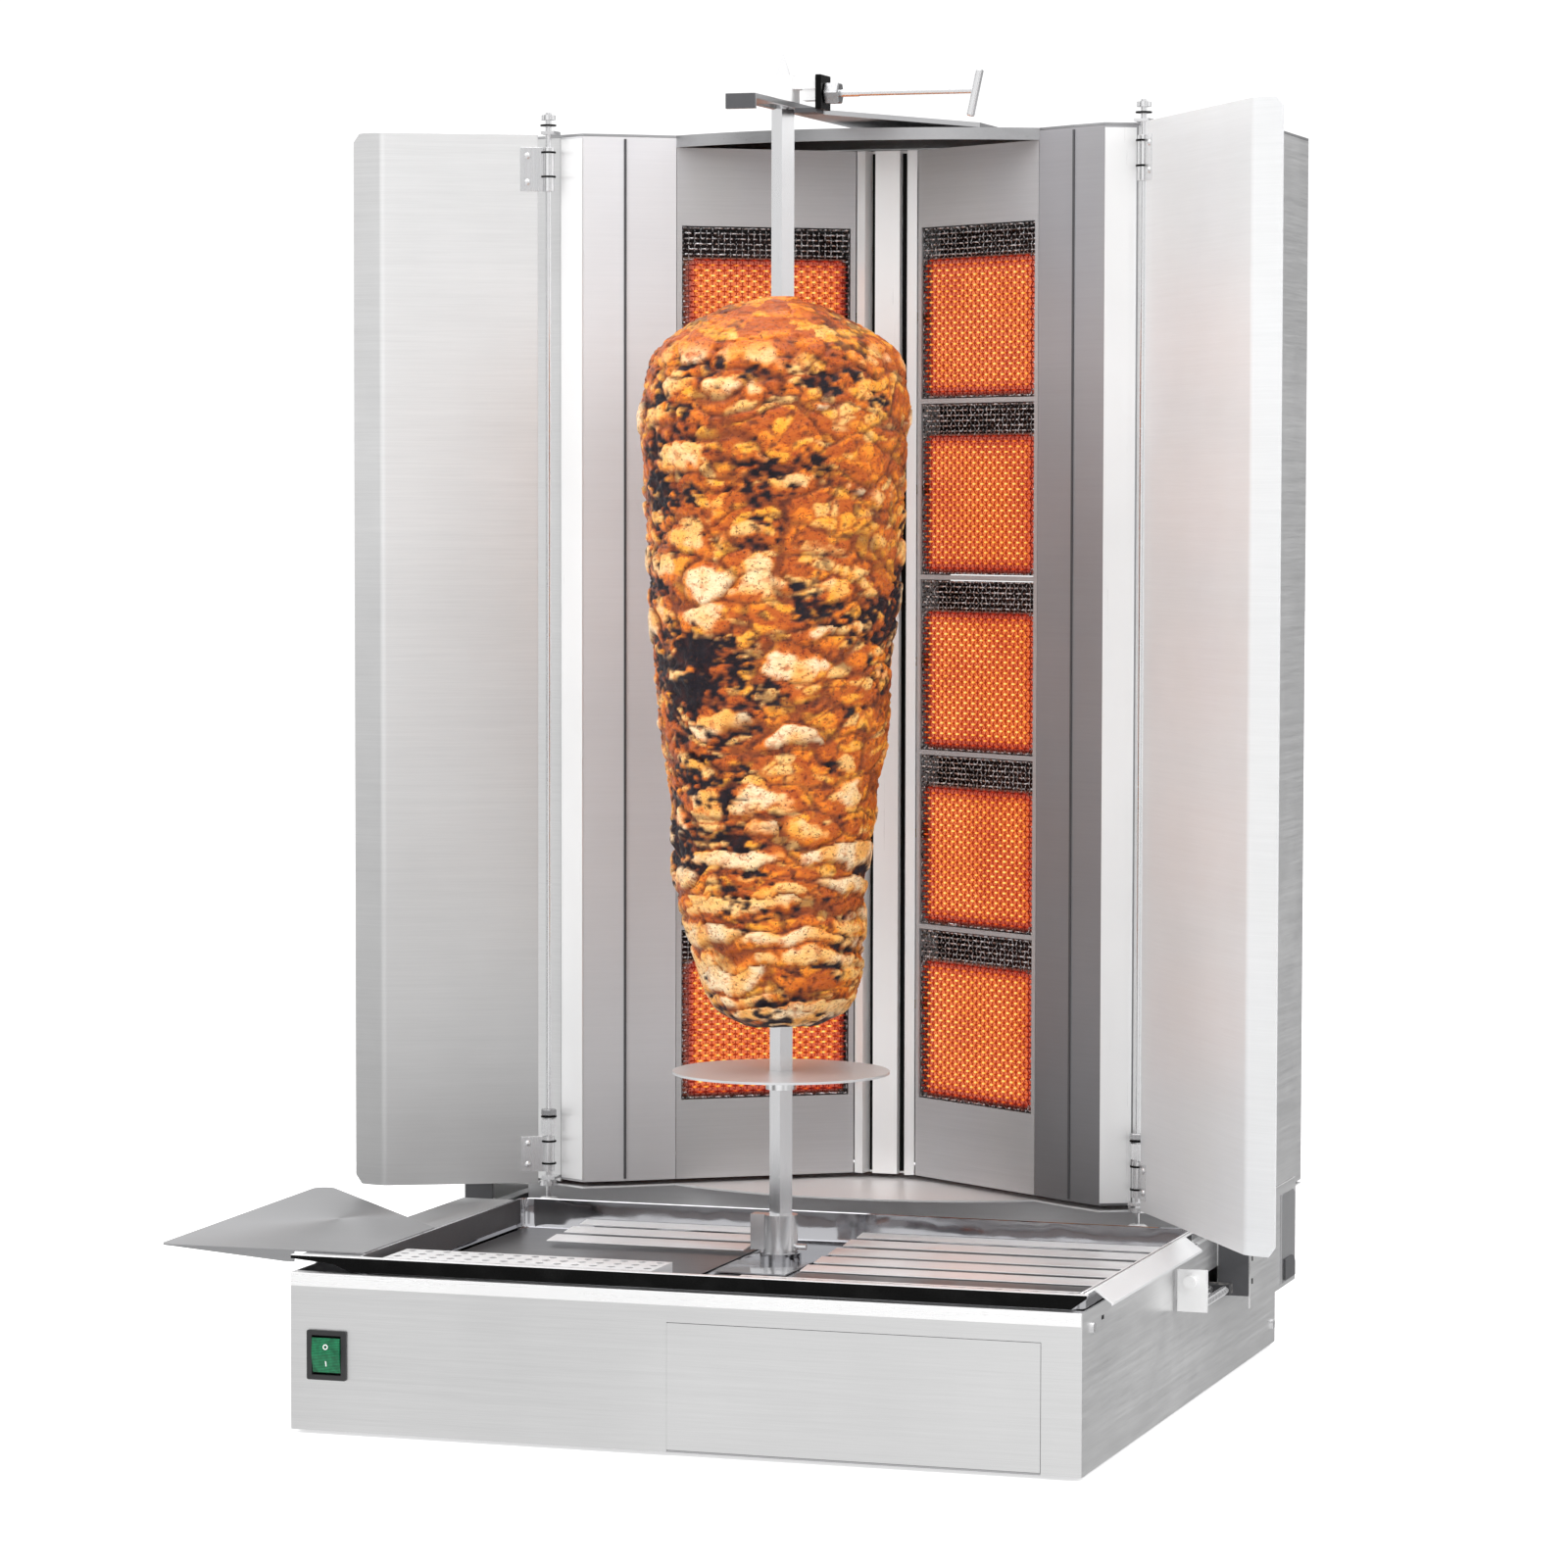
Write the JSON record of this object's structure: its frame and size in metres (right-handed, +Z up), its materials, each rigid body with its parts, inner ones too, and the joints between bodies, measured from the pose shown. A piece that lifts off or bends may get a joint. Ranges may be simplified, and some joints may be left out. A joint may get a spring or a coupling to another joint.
{
  "type": "rotisserie oven",
  "caption": "Upright gas rotisserie grill with a motor-driven spit, infrared burner columns, hinged wings, a drip pan and a grease drawer.",
  "frame": {"origin": "on the floor under the middle of the base, at the foot of the centre pad", "axes": "+X to the right as seen from the front, +Y from the front panel to the back, +Z up"},
  "size_m": [0.8889, 0.6786, 1.088],
  "materials": {
    "housing_steel": "brushed stainless sheet",
    "pan_steel": "mirror polished stainless",
    "wing_steel": "brushed stainless sheet",
    "reflector_steel": "brushed stainless, darker by reflection",
    "bright_strip": "polished stainless trim",
    "spit_steel": "bright ground stainless",
    "hardware_steel": "turned stainless",
    "dark_steel": "blackened steel",
    "screen_wire": "heat-darkened heat-resisting wire",
    "glowing_ceramic": "perforated ceramic plaque, glowing",
    "cast_case": "cast, satin",
    "gas_brass": "drawn brass",
    "black_plastic": "black moulded plastic",
    "green_lens": "translucent green lens",
    "foot_rubber": "black rubber",
    "roast_meat": "roasted layered meat, glossy with fat"
  },
  "bodies": {
    "root": {"base_back_panel": "housing_steel", "base_deck": "housing_steel", "base_floor": "housing_steel", "base_front_panel": "housing_steel", "base_side_left": "housing_steel", "base_side_right": "housing_steel", "burner_frame_left": "reflector_steel", "burner_frame_right": "reflector_steel", "burner_plenums": "dark_steel", "burner_screens_left": "screen_wire", "burner_screens_right": "screen_wire", "burner_tiles_left": "glowing_ceramic", "burner_tiles_right": "glowing_ceramic", "carriage_rails": "dark_steel", "centre_strip": "bright_strip", "drawer_runners": "housing_steel", "drip_pan": "pan_steel", "gas_manifold": "gas_brass", "hinge_lugs": "hardware_steel", "hinge_rod_left": "hardware_steel", "hinge_rod_right": "hardware_steel", "housing_screws": "hardware_steel", "power_gland": "black_plastic", "reflector_left": "reflector_steel", "reflector_right": "reflector_steel", "rubber_feet": "foot_rubber", "shelf_bracket": "housing_steel", "side_shelf": "housing_steel", "support_arm": "housing_steel", "switch_bezel": "black_plastic", "tower_back_cover": "housing_steel", "tower_base_plate": "housing_steel", "tower_cap": "housing_steel", "tower_feet": "housing_steel", "tower_side_left": "housing_steel", "tower_side_right": "housing_steel"},
    "wing_left": {"wing_left": "wing_steel"},
    "wing_right": {"wing_right": "wing_steel"},
    "drawer": {"drawer_front": "housing_steel", "drawer_tray": "housing_steel"},
    "rocker": {"switch_rocker": "green_lens"},
    "carriage": {"motor_carriage": "dark_steel", "spit_gearbox": "cast_case", "spit_motor": "cast_case", "adjuster_rods": "hardware_steel", "adjuster_grip": "hardware_steel", "slot_cover": "pan_steel"},
    "spit": {"drive_socket": "spit_steel", "spit_bar": "spit_steel", "spit_collar": "spit_steel", "meat_disc": "spit_steel", "meat_cone": "roast_meat"},
    "bearing": {"bearing_block": "spit_steel", "clamp_plate": "dark_steel"},
    "clamp": {"clamp_screw": "hardware_steel"},
    "knob_1": {"gas_knob_1": "black_plastic"},
    "knob_2": {"gas_knob_2": "black_plastic"},
    "knob_3": {"gas_knob_3": "black_plastic"},
    "knob_4": {"gas_knob_4": "black_plastic"},
    "knob_5": {"gas_knob_5": "black_plastic"}
  },
  "joints": [
    {"name": "left_wing_swing", "type": "hinge", "parent": "root", "child": "wing_left", "pos_m": [-0.259, 0.081, 0.594], "axis": [0, 0, 1], "range_deg": [-16.5, 78.5]},
    {"name": "right_wing_swing", "type": "hinge", "parent": "root", "child": "wing_right", "pos_m": [0.259, 0.081, 0.594], "axis": [0, 0, 1], "range_deg": [-47.5, 47.5]},
    {"name": "drawer_slide", "type": "slide", "parent": "root", "child": "drawer", "axis": [0, -1, 0], "range_m": [0, 0.24]},
    {"name": "rocker_tilt", "type": "hinge", "parent": "root", "child": "rocker", "pos_m": [-0.289, -0.324, 0.063], "axis": [1, 0, 0], "range_deg": [-9, 0]},
    {"name": "spit_distance", "type": "slide", "parent": "root", "child": "carriage", "axis": [0, 1, 0], "range_m": [-0.03, 0.03]},
    {"name": "spit_spin", "type": "hinge", "parent": "carriage", "child": "spit", "pos_m": [0, -0.073, 0.6], "axis": [0, 0, 1], "continuous": true},
    {"name": "bearing_slide", "type": "slide", "parent": "root", "child": "bearing", "axis": [0, 1, 0], "range_m": [-0.03, 0.03]},
    {"name": "clamp_turn", "type": "hinge", "parent": "bearing", "child": "clamp", "pos_m": [0.1, -0.073, 1.056], "axis": [1, 0, 0], "range_deg": [-90, 90]},
    {"name": "knob_1_turn", "type": "hinge", "parent": "root", "child": "knob_1", "pos_m": [-0.2, 0.325, 0.891], "axis": [0, 1, 0], "range_deg": [0, 110]},
    {"name": "knob_2_turn", "type": "hinge", "parent": "root", "child": "knob_2", "pos_m": [-0.2, 0.325, 0.741], "axis": [0, 1, 0], "range_deg": [0, 110]},
    {"name": "knob_3_turn", "type": "hinge", "parent": "root", "child": "knob_3", "pos_m": [-0.2, 0.325, 0.591], "axis": [0, 1, 0], "range_deg": [0, 110]},
    {"name": "knob_4_turn", "type": "hinge", "parent": "root", "child": "knob_4", "pos_m": [-0.2, 0.325, 0.441], "axis": [0, 1, 0], "range_deg": [0, 110]},
    {"name": "knob_5_turn", "type": "hinge", "parent": "root", "child": "knob_5", "pos_m": [-0.2, 0.325, 0.291], "axis": [0, 1, 0], "range_deg": [0, 110]}
  ],
  "couplings": [
    {"joint": "bearing_slide", "follows": "spit_distance", "ratio": 1}
  ]
}
